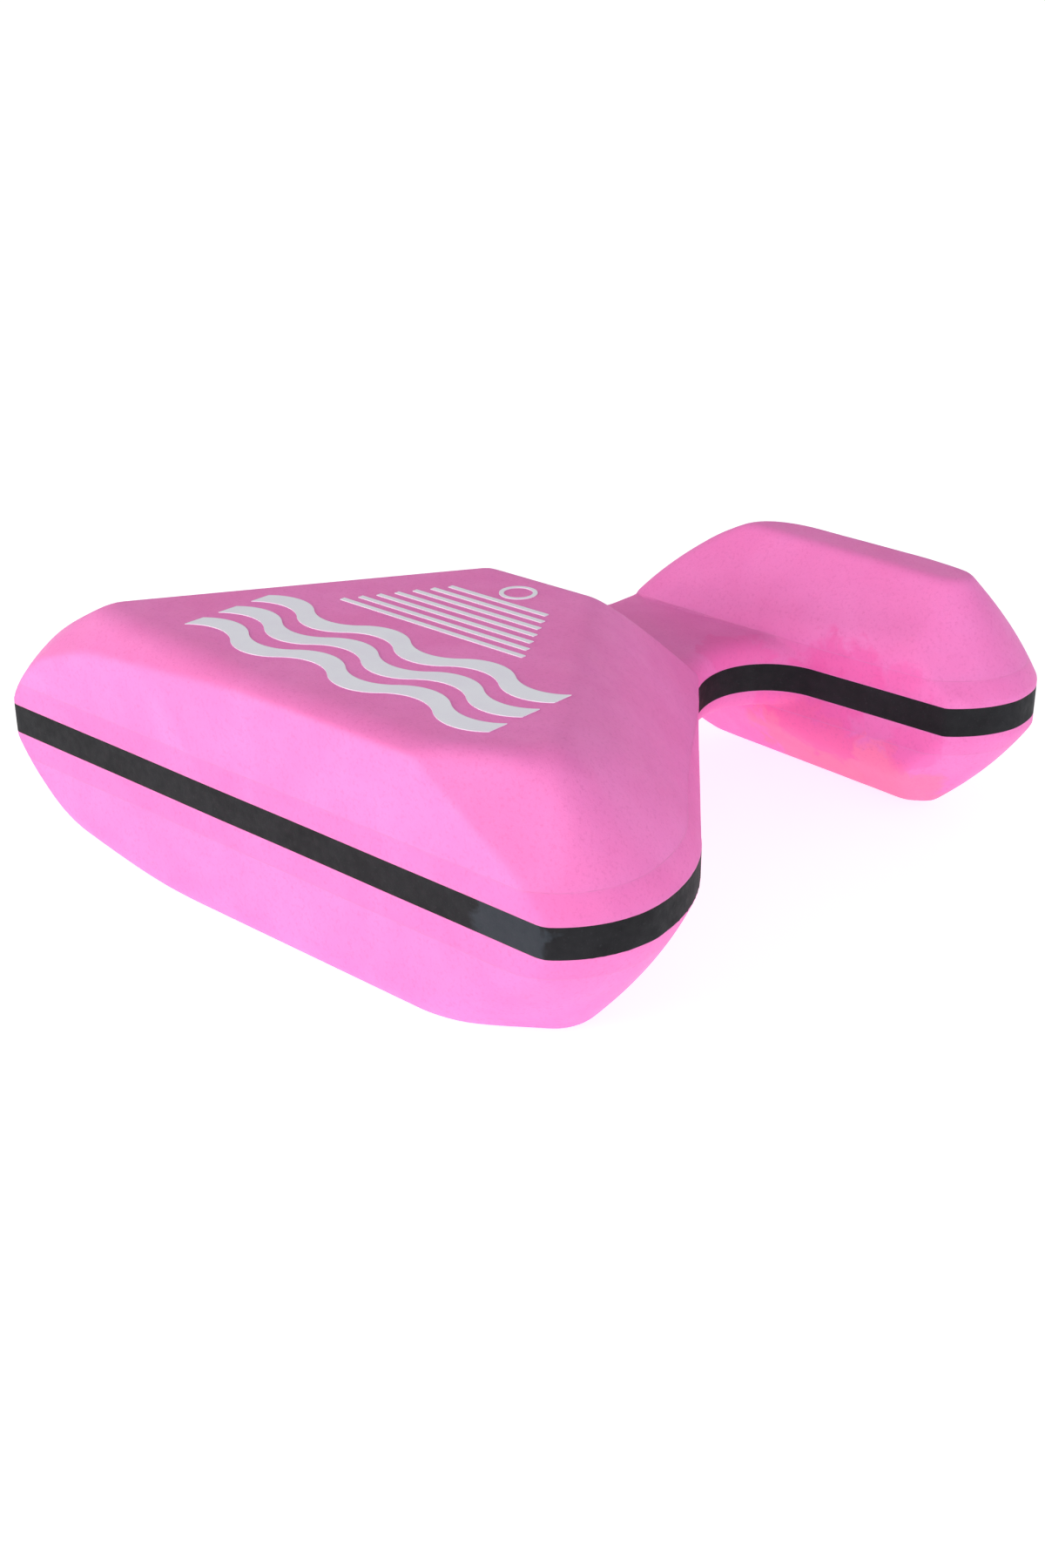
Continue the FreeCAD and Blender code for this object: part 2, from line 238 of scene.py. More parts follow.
def round_side(u, v, centre, radius, first, last):
    """Distance to a convex side: an arc between two directions, and its end tangents."""
    direction = np.arctan2(v - centre[1], u - centre[0])
    kept = np.clip(direction, first, last)
    reach = np.hypot(u - centre[0], v - centre[1]) * np.cos(direction - kept)
    return reach - radius


def plane(u, v, height, normal, offset):
    return normal[0] * u + normal[1] * v + normal[2] * height - offset


# Each side of the large lobe, with u measured outwards from x = 0.
# Leans are (start height, slope, curve), and facets (normal, offset).
NOTCH_SIDE = {
    "end": (END_NOTCH_X, END_Y),
    "bulge": (large_high[0], BULGE_Y),
    "taper": TAPER_NOTCH,
    "foot": (FOOT_NOTCH_X, FOOT_Y),
    "corner_radius": CORNER_NOTCH_RADIUS,
    "corner_upper_lean": (4.0, 0.42, 0.0085),
    "corner_lower_lean": (4.0, 0.42, 0.0085),
    "upper_lean": (4.0, 0.42, 0.0152),
    "lower_lean": (4.0, 0.42, 0.0085),
    "flat_corner": (79.2, -86.6),
    "flat_far": (23.2, -3.8),
    "roll_off": math.radians(21),
    "upper_facets": [((0.377, -0.720, 0.583), 112.1)],
    "lower_facets": [((0.377, -0.755, 0.537), 115.2)],
}
BACK_SIDE = {
    "end": (-END_BACK_X, END_Y),
    "bulge": (-large_low[0], BULGE_Y),
    "taper": (-TAPER_BACK[0], TAPER_BACK[1]),
    "foot": (-BACK_BLEND[0], BACK_BLEND[1]),
    "corner_radius": CORNER_BACK_RADIUS,
    "corner_upper_lean": (5.0, 0.36, 0.0205),
    "corner_lower_lean": (5.0, 0.42, 0.0205),
    "upper_lean": (5.0, 0.42, 0.0205),
    "lower_lean": (5.0, 0.42, 0.0205),
    "flat_corner": (70.2, -88.3),
    "flat_far": (15.8, -3.3),
    "roll_off": math.radians(35),
    "upper_facets": [((0.068, -0.633, 0.772), 90.0), ((0.276, -0.610, 0.743), 100.0)],
    "lower_facets": [((0.149, -0.652, 0.743), 96.2)],
}
SIDE_BLEND = (-95.0, -70.0)            # y over which the corner's lean becomes the side's
UPRIGHT_BLEND = (-40.0, 10.0)          # y over which the foot of the side becomes upright
UPRIGHT_LEAN = (10.4, 0.86, 0.0085)    # lean of the side beside the waist
# Height where the upright end face stops, and y of the flat's near edge.
UPPER_CHAMFER = (32.0, -99.8)
LOWER_CHAMFER = (30.4, -98.6)
FLAT_FAR_Y = -2.6                      # far edge of the flat
# Widths over which creases are rounded.
CREASE_ROUND = 1.0                     # crisp creases of the wide end
FACET_ROUND = 2.6                      # softer ones below the stripe
FLAT_ROUND = 3.0                       # all round the flat
FAR_ROUND = 1.6                        # between the flat and the waist
# A leaning side is measured level, and divided by this to give about the true distance.
SIDE_STRETCH = 1.35


def lobe_side(u, y, height, upper, side):
    """Distance to one curved side of the large lobe, from the wide end to the waist."""
    end, bulge, taper = side["end"], side["bulge"], side["taper"]
    radius = side["corner_radius"]
    centre = arc_centre(end, bulge, radius, LEFT_TURN)
    near = round_side(u, y, centre, radius, heading(centre, end), heading(centre, bulge))
    centre = arc_centre(bulge, taper, SHOULDER_RADIUS, LEFT_TURN)
    straight = heading(taper, side["foot"]) - math.pi / 2
    past = round_side(u, y, centre, SHOULDER_RADIUS, heading(centre, bulge), straight)
    wall = np.where(y < BULGE_Y, near, past)
    corner_inset = leans(height, upper, side["corner_upper_lean"], side["corner_lower_lean"])
    side_inset = leans(height, upper, side["upper_lean"], side["lower_lean"])
    inset = corner_inset + (side_inset - corner_inset) * smooth_step(y, *SIDE_BLEND)
    upright_inset = lean(height, *UPRIGHT_LEAN)
    inset = inset + (upright_inset - inset) * smooth_step(y, *UPRIGHT_BLEND)
    return (wall + inset) / SIDE_STRETCH


def roll_off(u, y, height, side):
    """The gentle slope between the flat and one side."""
    corner, far = side["flat_corner"], side["flat_far"]
    along = np.subtract(far, corner) / math.dist(far, corner)
    outwards = (u - corner[0]) * along[1] - (y - corner[1]) * along[0]
    slope = side["roll_off"]
    return outwards * math.sin(slope) + (height - LARGE_TOP) * math.cos(slope)


def chamfer(y, height, start, flat_near_y):
    """The narrow slope between the upright end face and the flat."""
    run = flat_near_y - END_Y
    rise = LARGE_TOP - start
    return ((END_Y - y) * rise + (height - start) * run) / math.hypot(run, rise)


def large_lobe(x, y, height, upper):
    """Distance to the large lobe; its end is facetted differently above and below."""
    above = smooth_max(END_Y - y, chamfer(y, height, *UPPER_CHAMFER), CREASE_ROUND)
    below = smooth_max(END_Y - y, chamfer(y, height, *LOWER_CHAMFER), FACET_ROUND)
    top = height - LARGE_TOP
    far_lean = (FOOT_Y - FLAT_FAR_Y) / (LARGE_TOP - PINK_TOP)
    far = (y - FOOT_Y + far_lean * (height - PINK_TOP)) / math.hypot(1.0, far_lean)
    solid = np.full(np.broadcast(x, y, height).shape, -np.inf)
    for sign, side in ((1, NOTCH_SIDE), (-1, BACK_SIDE)):
        u = x * sign
        for normal, offset in side["upper_facets"]:
            above = smooth_max(above, plane(u, y, height, normal, offset), CREASE_ROUND)
        for normal, offset in side["lower_facets"]:
            below = smooth_max(below, plane(u, y, height, normal, offset), FACET_ROUND)
        rolled = smooth_max(top, roll_off(u, y, height, side), CREASE_ROUND)
        top = np.where(upper, rolled, top)
        solid = np.maximum(solid, lobe_side(u, y, height, upper, side))
    solid = smooth_max(solid, np.where(upper, above, below), CREASE_ROUND)
    solid = smooth_max(solid, top, FLAT_ROUND)
    return smooth_max(solid, far, FAR_ROUND)


# The small lobe.
TIP_UPPER_LEAN = (5.0, 0.50, 0.0080)
TIP_NEAR_LOWER_LEAN = (6.0, 0.55, 0.0075)
TIP_FAR_LOWER_LEAN = (7.0, 0.62, 0.0115)
BACK_UPPER_LEAN = (10.4, 0.60, 0.023)
BACK_LOWER_LEAN = (10.4, 0.45, 0.018)
NEAR_SLOPE = (47.7, -0.0887)           # y of the inner slope: base, and for each x
NEAR_RISE_UPPER = 0.973                # y of the inner slope for each height
NEAR_RISE_LOWER = 0.865
FAR_SLOPE = (112.2, -0.06, -0.683)     # y of the outer slope: base, per x, per height
BACK_CHAMFER = (-0.6, 0.8)             # direction of the outer back corner
BACK_CHAMFER_OFFSET = 85.4
BACK_CHAMFER_LEAN = (10.4, 1.16, 0.0)
NEAR_STRETCH = 1.38
BACK_STRETCH = 1.3
CORNER_STRETCH = 1.58
TIP_ROUND = 2.0                        # widths over which the creases are rounded
FOOT_ROUND = 4.0
NEAR_ROUND = 1.2
OUTER_ROUND = 2.0
BACK_ROUND = 3.0
CORNER_ROUND = 4.0
SMALL_TOP_ROUND = 1.4


def small_lobe(x, y, height, upper):
    """Distance to the small lobe: a rounded tip between two slopes, and a squarer back."""
    inner, outer = (HOOK_CORNER_X, HOOK_Y), (HOOK_FAR_X, FAR_Y)
    centre = arc_centre(inner, HOOK_TIP, HOOK_RADIUS, LEFT_TURN)
    first, last = heading(centre, inner), heading(centre, HOOK_TIP)
    near_tip = round_side(x, y, centre, HOOK_RADIUS, first, last)
    centre = arc_centre(HOOK_TIP, outer, HOOK_RADIUS, LEFT_TURN)
    first, last = heading(centre, HOOK_TIP), heading(centre, outer)
    far_tip = round_side(x, y, centre, HOOK_RADIUS, first, last)
    near_inset = leans(height, upper, TIP_UPPER_LEAN, TIP_NEAR_LOWER_LEAN)
    far_inset = leans(height, upper, TIP_UPPER_LEAN, TIP_FAR_LOWER_LEAN)
    tip = smooth_max(near_tip + near_inset, far_tip + far_inset, TIP_ROUND) / SIDE_STRETCH
    rise = np.where(upper, NEAR_RISE_UPPER, NEAR_RISE_LOWER)
    near = (NEAR_SLOPE[0] + NEAR_SLOPE[1] * x + rise * height - y) / NEAR_STRETCH
    base, across, up = FAR_SLOPE
    far = (y - base - across * x - up * height) / math.hypot(1.0, up)
    back_inset = leans(height, upper, BACK_UPPER_LEAN, BACK_LOWER_LEAN)
    back = (BACK_X + back_inset - x) / BACK_STRETCH
    corner = BACK_CHAMFER[0] * x + BACK_CHAMFER[1] * y - BACK_CHAMFER_OFFSET
    corner = (corner + lean(height, *BACK_CHAMFER_LEAN)) / CORNER_STRETCH
    near = smooth_max(near, HOOK_Y - y, FOOT_ROUND)
    far = smooth_max(far, y - FAR_Y, FOOT_ROUND)
    solid = smooth_max(near, tip, NEAR_ROUND)
    solid = smooth_max(solid, far, OUTER_ROUND)
    solid = smooth_max(solid, back, BACK_ROUND)
    solid = smooth_max(solid, corner, CORNER_ROUND)
    return smooth_max(solid, height - SMALL_TOP, SMALL_TOP_ROUND)


WAIST_SKIM = 0.25                      # the bare waist is buffed a little below the seam
WAIST_Y = (FOOT_Y - 9.0, HOOK_Y + 3.5)
BACK_EDGE_ROUND = 2.0                  # width of the waist's rolled edge at its back
NOTCH_EDGE_EXTRA = 5.0                 # how much wider it is on the notch's side
EDGE_BLEND = (0.0, 20.0)               # x over which the edge gets wider


def waist(wall, x, y, height):
    """The bare core between the lobes, with its edge rolled over on the notch's side."""
    outside = np.maximum(WAIST_Y[0] - y, y - WAIST_Y[1])
    edge_round = BACK_EDGE_ROUND + NOTCH_EDGE_EXTRA * smooth_step(x, *EDGE_BLEND)
    rolled = smooth_max(wall, height - PINK_TOP + WAIST_SKIM, edge_round)
    return np.maximum(rolled, outside)


# Lengths of the waves that make the walls uneven, in millimetres for each radian.
WAVE_ACROSS = 9.1
WAVE_BEND = 17.0
WAVE_ALONG = 11.7
WAVE_RISE = 7.3
WAVE_SLANT = 15.9
WAVE_FALL = 12.1
BEND_DEPTH = 1.3                       # how far the first wave is bent, in radians


def undulation(x, y, z):
    """Slow unevenness of the buffed walls, from a few waves of unlike lengths."""
    waves = np.sin(x / WAVE_ACROSS + BEND_DEPTH * np.sin(y / WAVE_BEND))
    waves = waves + np.sin(y / WAVE_ALONG + z / WAVE_RISE)
    waves = waves + np.sin((x + y) / WAVE_SLANT - z / WAVE_FALL)
    return waves / 3


CALM_BELOW_TOP = (6.0, 3.0)            # the flats are even: unevenness fades out here


def solid_at(x, y, z, wall=None):
    """Distance to the whole carved part; wall may be given when it is already known."""
    height = np.abs(z)
    upper = z > 0
    if wall is None:
        wall = outline_distance(x, y)
    part = np.minimum(large_lobe(x, y, height, upper), small_lobe(x, y, height, upper))
    part = np.minimum(part, waist(wall, x, y, height))
    part = np.maximum(part, np.broadcast_to(wall, part.shape))
    calm = smooth_step(height, *(LARGE_TOP - depth for depth in CALM_BELOW_TOP))
    return part + UNDULATION * undulation(x, y, z) * (1 - calm)


# --- meshing ------------------------------------------------------------------------------

GRID_MARGIN = 2.5                      # cells of space around the solid
PROBE = 0.05                           # how far apart the slope is measured, either way
LEAST_SLOPE = 0.2                      # keeps a move finite where the distance is flat


def grid_field():
    """The solid sampled on a grid, with the grid's origin."""
    low = np.array([core_low[0], core_low[1], -LARGE_TOP]) - GRID_MARGIN * SKIN_STEP
    high = np.array([core_high[0], core_high[1], LARGE_TOP]) + GRID_MARGIN * SKIN_STEP
    counts = np.ceil((high - low) / SKIN_STEP).astype(int) + 1
    x, y, z = (low[axis] + SKIN_STEP * np.arange(counts[axis]) for axis in range(3))
    plan_x, plan_y = np.meshgrid(x, y, indexing="ij")
    wall = outline_distance(plan_x, plan_y)
    field = solid_at(plan_x[..., None], plan_y[..., None], z, wall[..., None])
    return field, low


def surface_net(field, low):
    """A closed quad mesh of the field's zero surface: one vertex for each crossed cell."""
    inside = field < 0
    cells = np.array(field.shape) - 1
    total = np.zeros((*cells, 3))
    count = np.zeros(cells)
    faces = []
    crossings = []
    for axis in range(3):
        one = [slice(None)] * 3
        two = [slice(None)] * 3
        one[axis] = slice(None, -1)
        two[axis] = slice(1, None)
        crossed = inside[tuple(one)] != inside[tuple(two)]
        i, j, k = np.nonzero(crossed)
        start = np.stack([i, j, k], axis=1)
        step = np.zeros(3, int)
        step[axis] = 1
        value = field[i, j, k]
        after = field[i + step[0], j + step[1], k + step[2]]
        place = start + step * (value / (value - after))[:, None]
        side, up = (axis + 1) % 3, (axis + 2) % 3
        crossings.append((axis, start, inside[i, j, k]))
        for a in (0, 1):
            for b in (0, 1):
                cell = start.copy()
                cell[:, side] -= a
                cell[:, up] -= b
                np.add.at(total, tuple(cell.T), place)
                np.add.at(count, tuple(cell.T), 1)
    used = count > 0
    index = np.full(cells, -1)
    index[used] = np.arange(used.sum())
    vertices = low + SKIN_STEP * total[used] / count[used][:, None]
    for axis, start, starts_inside in crossings:
        side, up = (axis + 1) % 3, (axis + 2) % 3
        ring = []
        for a, b in ((1, 1), (0, 1), (0, 0), (1, 0)):
            cell = start.copy()
            cell[:, side] -= a
            cell[:, up] -= b
            ring.append(index[tuple(cell.T)])
        quads = np.stack(ring, axis=1)
        quads[~starts_inside] = quads[~starts_inside][:, ::-1]
        faces.append(quads)
    return vertices, np.concatenate(faces)


def onto_surface(vertices, rounds):
    """Move vertices along the solid's slope until they lie on its surface."""
    for _ in range(rounds):
        x, y, z = vertices.T
        value = solid_at(x, y, z)
        slope = np.stack([
            solid_at(x + PROBE, y, z) - solid_at(x - PROBE, y, z),
            solid_at(x, y + PROBE, z) - solid_at(x, y - PROBE, z),
            solid_at(x, y, z + PROBE) - solid_at(x, y, z - PROBE),
        ], axis=1) / (2 * PROBE)
        length = np.maximum((slope ** 2).sum(axis=1), LEAST_SLOPE)
        move = slope * (value / length)[:, None]
        vertices = vertices - np.clip(move, -SKIN_STEP / 2, SKIN_STEP / 2)
    return vertices


def relaxed(vertices, faces):
    """Even out the mesh: each vertex half way to the mean of its neighbours."""
    total = np.zeros_like(vertices)
    count = np.zeros(len(vertices))
    for near, far in ((0, 1), (1, 2), (2, 3), (3, 0)):
        np.add.at(total, faces[:, near], vertices[faces[:, far]])
        np.add.at(total, faces[:, far], vertices[faces[:, near]])
        np.add.at(count, faces[:, near], 1)
        np.add.at(count, faces[:, far], 1)
    return (vertices + total / count[:, None]) / 2


def carved_skin():
    vertices, faces = surface_net(*grid_field())
    vertices = onto_surface(vertices, 2)
    vertices = onto_surface(relaxed(vertices, faces), 2)
    vertices = onto_surface(relaxed(vertices, faces), 2)
    return vertices, faces


def skin_mesh():
    vertices, faces = carved_skin()
    mesh = bpy.data.meshes.new("skin")
    metres = (vertices + [0, 0, MID_Z]) * MM
    mesh.from_pydata(metres.tolist(), [], faces.tolist())
    mesh.update()
    return mesh


# --- slicing the skin into pieces -----------------------------------------------------------

CUT_TOLERANCE = 1e-7
SHARP_ANGLE = math.radians(50)         # steeper creases are shaded sharp


def cut(bm, level, keep_above):
    """Cut the mesh at a level and close the cut with a flat face."""
    geometry = bm.verts[:] + bm.edges[:] + bm.faces[:]
    bmesh.ops.bisect_plane(
        bm,
        geom=geometry,
        dist=CUT_TOLERANCE,
        plane_co=(0, 0, (level + MID_Z) * MM),
        plane_no=(0, 0, -1 if keep_above else 1),
        clear_outer=True,
    )
    open_edges = [edge for edge in bm.edges if edge.is_boundary]
    bmesh.ops.holes_fill(bm, edges=open_edges, sides=0)


def keep_lobe(bm, large):
    """Keep only the part of the mesh on the large or on the small lobe's side."""
    split_y = (FOOT_Y + HOOK_Y) / 2 * MM
    lost = [vert for vert in bm.verts if (vert.co.y < split_y) != large]
    bmesh.ops.delete(bm, geom=lost, context="VERTS")


def slice_piece(name, skin, low, high, lobe=None):
    """One layer of the skin between two levels, as a piece that stands for its node."""
    bm = bmesh.new()
    bm.from_mesh(skin)
    if low is not None:
        cut(bm, low, True)
    if high is not None:
        cut(bm, high, False)
    if lobe is not None:
        keep_lobe(bm, lobe == "large")
    bmesh.ops.recalc_face_normals(bm, faces=bm.faces[:])
    mesh = bpy.data.meshes.new(name)
    bm.to_mesh(mesh)
    bm.free()
    mesh.shade_smooth()
    mesh.set_sharp_from_angle(angle=SHARP_ANGLE)
    piece = bpy.data.objects.new(name, mesh)
    bpy.context.scene.collection.objects.link(piece)
    return piece


# --- materials -------------------------------------------------------------------------------

PINK_PALE = (0.90, 0.228, 0.590)
PINK_DEEP = (0.87, 0.198, 0.540)
PINK_MAUVE = (0.78, 0.185, 0.515)
PINK_DARK = (0.66, 0.110, 0.360)
SHEET_SHADE = (0.975, 0.90, 0.94)      # the core's pink sheets are a shade deeper
# painted highlight colour for the bright patches on the small lobe's walls
HIGHLIGHT_PINK = (0.88, 0.125, 0.45)
# painted bounce light: the salmon tint that light from the floor gives the undersides
BOUNCE_SALMON = (0.95, 0.215, 0.42)
BEAD = (0.70, 0.08, 0.22)
BLACK = (0.006, 0.006, 0.008)
BLACK_WORN = (0.018, 0.019, 0.023)
BLACK_SCUFF = (0.06, 0.063, 0.075)
# worn black, lightened further as a painted glare
BLACK_WEAR_AND_GLARE = (0.035, 0.042, 0.055)
GLUE = (0.76, 0.16, 0.46)
INK = (0.86, 0.86, 0.94)
INK_THIN = (0.76, 0.68, 0.84)

# Places on the foam, in metres: centre, radius, and how strongly it is tinted.
# Painted highlights: bright hot-pink patches around the stripe on the small lobe stand in for
# pink light reflected across its uneven walls.
PAINTED_HIGHLIGHT_PATCHES = [
    ((0.060, 0.048, 0.0405), 0.0145, 0.65),
    ((0.080, 0.050, 0.0400), 0.0105, 0.45),
    ((0.034, 0.044, 0.0440), 0.011, 0.55),
    ((0.052, 0.055, 0.0250), 0.017, 0.70),
    ((0.084, 0.052, 0.0230), 0.011, 0.50),
]
# Painted bounce light: salmon patches low on the small lobe stand in for light thrown up from the
# floor.
PAINTED_BOUNCE_PATCHES = [
    ((0.046, 0.062, 0.0120), 0.018, 0.85),
    ((0.066, 0.064, 0.0070), 0.021, 0.85),
]
GLUE_BEAD = ((0.0433, 0.0595, 0.0448), 0.0016, 0.9)
# Partly real wear, partly a painted highlight: the glare on the black sheet at the wide end's
# corner on the notch's side.
WORN_CORNER_GLARE = ((0.080, -0.103, 0.0344), 0.011, 0.7)
BORDER_SCALE = 130.0                   # of the noise that makes a patch's border ragged
BORDER_DEPTH = 1.4                     # all three are shares of the patch's radius
BORDER_OUTER = 1.75
BORDER_INNER = 1.55


class Shader:
    """A small helper that adds and joins the nodes of one material."""

    def __init__(self, name):
        self.material = bpy.data.materials.new(name)
        self.material.use_nodes = True
        self.tree = self.material.node_tree
        self.surface = self.tree.nodes["Principled BSDF"]
        coordinates = self.tree.nodes.new("ShaderNodeTexCoord")
        self.place = coordinates.outputs["Object"]

    def node(self, kind, inputs=(), **settings):
        made = self.tree.nodes.new(kind)
        for name, value in settings.items():
            setattr(made, name, value)
        for name, value in dict(inputs).items():
            if isinstance(value, bpy.types.NodeSocket):
                self.tree.links.new(value, made.inputs[name])
            else:
                made.inputs[name].default_value = value
        return made

    def noise(self, scale, detail=2.0, roughness=0.5, distortion=0.0):
        inputs = {
            "Vector": self.place,
            "Scale": scale,
            "Detail": detail,
            "Roughness": roughness,
            "Distortion": distortion,
        }
        return self.node("ShaderNodeTexNoise", inputs).outputs["Fac"]

    def mapped(self, value, from_low, from_high, to_low, to_high):
        inputs = {
            "Value": value,
            "From Min": from_low,
            "From Max": from_high,
            "To Min": to_low,
            "To Max": to_high,
        }
        return self.node("ShaderNodeMapRange", inputs).outputs["Result"]

    def math(self, operation, first, second):
        made = self.node("ShaderNodeMath", {0: first, 1: second}, operation=operation)
        return made.outputs["Value"]

    def patch(self, centre, radius, strength):
        """How much of a tint there is around a place, with a ragged border."""
        ends = {0: self.place, 1: centre}
        away = self.node("ShaderNodeVectorMath", ends, operation="DISTANCE").outputs["Value"]
        border = self.noise(BORDER_SCALE, 3.0, 0.55, 0.6)
        ragged = self.math("MULTIPLY", border, radius * BORDER_DEPTH)
        reach = self.math("ADD", away, ragged)
        return self.mapped(reach, radius * BORDER_OUTER, radius * BORDER_INNER, 0.0, strength)

    def mix(self, share, first, second):
        made = self.node("ShaderNodeMix", data_type="RGBA")
        for socket, value in ((0, share), (6, first), (7, second)):
            if isinstance(value, bpy.types.NodeSocket):
                self.tree.links.new(value, made.inputs[socket])
            elif socket == 0:
                made.inputs[socket].default_value = value
            else:
                made.inputs[socket].default_value = (*value, 1.0)
        return made.outputs[2]

    def bump(self, layers):
        """Stack bumps, each (height, strength, distance in metres)."""
        normal = None
        for height, strength, distance in layers:
            inputs = {"Height": height, "Strength": strength, "Distance": distance}
            if normal is not None:
                inputs["Normal"] = normal
            normal = self.node("ShaderNodeBump", inputs).outputs["Normal"]
        return normal

    def feed(self, name, value):
        if isinstance(value, bpy.types.NodeSocket):
            self.tree.links.new(value, self.surface.inputs[name])
        else:
            self.surface.inputs[name].default_value = value


def pink_foam(name="pink_foam", shade=(1.0, 1.0, 1.0)):
    """Closed-cell foam: broad drift, cloudy mauve, painted highlights and painted bounce light,
    fine grain and pores.
    """
    palette = (PINK_PALE, PINK_DEEP, PINK_MAUVE, PINK_DARK)
    pale, deep, mauve, dark = (tuple(np.multiply(color, shade)) for color in palette)
    shader = Shader(name)
    broad = shader.noise(38.0, 3.0, 0.55, 0.4)
    cloud = shader.noise(140.0, 4.0, 0.6)
    grain = shader.noise(1100.0, 3.0, 0.7)
    pores = shader.noise(3600.0, 2.0, 0.6)
    color = shader.mix(shader.mapped(broad, 0.35, 0.65, 0.0, 1.0), deep, pale)
    color = shader.mix(shader.mapped(cloud, 0.4, 0.75, 0.0, 0.22), color, mauve)
    # painted bounce light from the floor, low on the small lobe
    for patch in PAINTED_BOUNCE_PATCHES:
        color = shader.mix(shader.patch(*patch), color, BOUNCE_SALMON)
    # painted highlights on the small lobe's walls, around the stripe
    for patch in PAINTED_HIGHLIGHT_PATCHES:
        color = shader.mix(shader.patch(*patch), color, HIGHLIGHT_PINK)
    color = shader.mix(shader.patch(*GLUE_BEAD), color, BEAD)
    color = shader.mix(shader.mapped(grain, 0.52, 0.78, 0.0, 0.45), color, dark)
    shader.feed("Base Color", color)
    shader.feed("Roughness", shader.mapped(cloud, 0.3, 0.7, 0.52, 0.68))
    shader.feed("Specular IOR Level", 0.35)
    shader.feed("Subsurface Weight", 0.12)
    shader.feed("Subsurface Radius", (0.004, 0.0012, 0.002))
    shader.feed("Subsurface Scale", 1.0)
    shader.feed("Normal", shader.bump([(grain, 0.3, 0.0002), (pores, 0.2, 0.0001)]))
    return shader.material


def black_foam():
    shader = Shader("black_foam")
    broad = shader.noise(60.0, 3.0, 0.6)
    grain = shader.noise(1700.0, 3.0, 0.7)
    streaks = shader.noise(420.0, 2.0, 0.5)
    color = shader.mix(shader.mapped(broad, 0.3, 0.7, 0.0, 0.6), BLACK, BLACK_WORN)
    # worn spot and painted glare at the corner of the wide end
    color = shader.mix(shader.patch(*WORN_CORNER_GLARE), color, BLACK_WEAR_AND_GLARE)
    color = shader.mix(shader.mapped(grain, 0.60, 0.85, 0.0, 0.5), color, BLACK_SCUFF)
    shader.feed("Base Color", color)
    shader.feed("Roughness", shader.mapped(streaks, 0.3, 0.7, 0.58, 0.74))
    shader.feed("Specular IOR Level", 0.2)
    shader.feed("Normal", shader.bump([(grain, 0.3, 0.0002)]))
    return shader.material


def contact_glue():
    shader = Shader("contact_glue")
    patches = shader.noise(220.0, 3.0, 0.6)
    color = shader.mix(shader.mapped(patches, 0.35, 0.7, 0.0, 1.0), GLUE, PINK_DEEP)
    shader.feed("Base Color", color)
    shader.feed("Roughness", shader.mapped(patches, 0.3, 0.7, 0.35, 0.6))
    shader.feed("Normal", shader.bump([(patches, 0.3, 0.0002)]))
    return shader.material


def white_ink():
    shader = Shader("white_ink")
    broad = shader.noise(90.0, 3.0, 0.6)
    grain = shader.noise(2100.0, 3.0, 0.7)
    color = shader.mix(shader.mapped(broad, 0.4, 0.8, 0.0, 0.35), INK, INK_THIN)
    color = shader.mix(shader.mapped(grain, 0.6, 0.8, 0.0, 0.4), color, INK_THIN)
    shader.feed("Base Color", color)
    shader.feed("Roughness", shader.mapped(broad, 0.3, 0.7, 0.5, 0.62))
    shader.feed("Normal", shader.bump([(grain, 0.2, 0.0001)]))
    return shader.material


# --- pieces -----------------------------------------------------------------------------------

def dress(piece, node, material):
    piece.data.materials.append(material)
    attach(piece, "root")
    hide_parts(node)


def slice_side(skin, name, side, near, far=None, lobe=None):
    """A layer above or below the black sheet, between two distances from its middle."""
    if side == "upper":
        return slice_piece(f"{name}_{side}", skin, near, far, lobe)
    lowest = None if far is None else -far
    return slice_piece(f"{name}_{side}", skin, lowest, -near, lobe)


def make_foam_and_films():
    skin = skin_mesh()
    pink, black, glue = pink_foam(), black_foam(), contact_glue()
    sheet = pink_foam("pink_sheet_foam", SHEET_SHADE)
    piece = slice_piece("black_sheet", skin, -BLACK_TOP, BLACK_TOP)
    dress(piece, "core_black_sheet", black)
    for side in ("upper", "lower"):
        piece = slice_side(skin, "pink_sheet", side, PINK_BOTTOM, PINK_TOP)
        dress(piece, f"core_pink_sheet_{side}", sheet)
        piece = slice_side(skin, "core_film", side, BLACK_TOP, PINK_BOTTOM)
        dress(piece, f"glue_film_core_{side}", glue)
        for lobe in ("large", "small"):
            piece = slice_side(skin, f"{lobe}_film", side, PINK_TOP, BLOCK_BOTTOM, lobe)
            dress(piece, f"glue_film_{lobe}_{side}", glue)
            piece = slice_side(skin, f"{lobe}_foam", side, BLOCK_BOTTOM, lobe=lobe)
            dress(piece, f"{lobe}_block_{side}", pink)
    bpy.data.meshes.remove(skin)


def dress_prints():
    ink = white_ink()
    for node in ("printed_waves", "printed_panel"):
        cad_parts[node].data.materials.clear()
        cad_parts[node].data.materials.append(ink)


# --- floor, light and camera --------------------------------------------------------------------

FLOOR_SIZE = 12.0
FLOOR_GAP = 0.0002                     # keeps the floor just below the part
FLOOR_GLOW = 0.66
HORIZON_GLOW = 0.98
OVERHEAD_GLOW = 0.44
HORIZON_HEIGHTS = (0.05, 0.75)         # over which the surround gets dimmer
CAMERA_PLACE = (0.3320, -0.3850, 0.2445)
CAMERA_PITCH = math.radians(-24.94)
CAMERA_TURN = math.radians(41.32)
CAMERA_LENS = 46.4


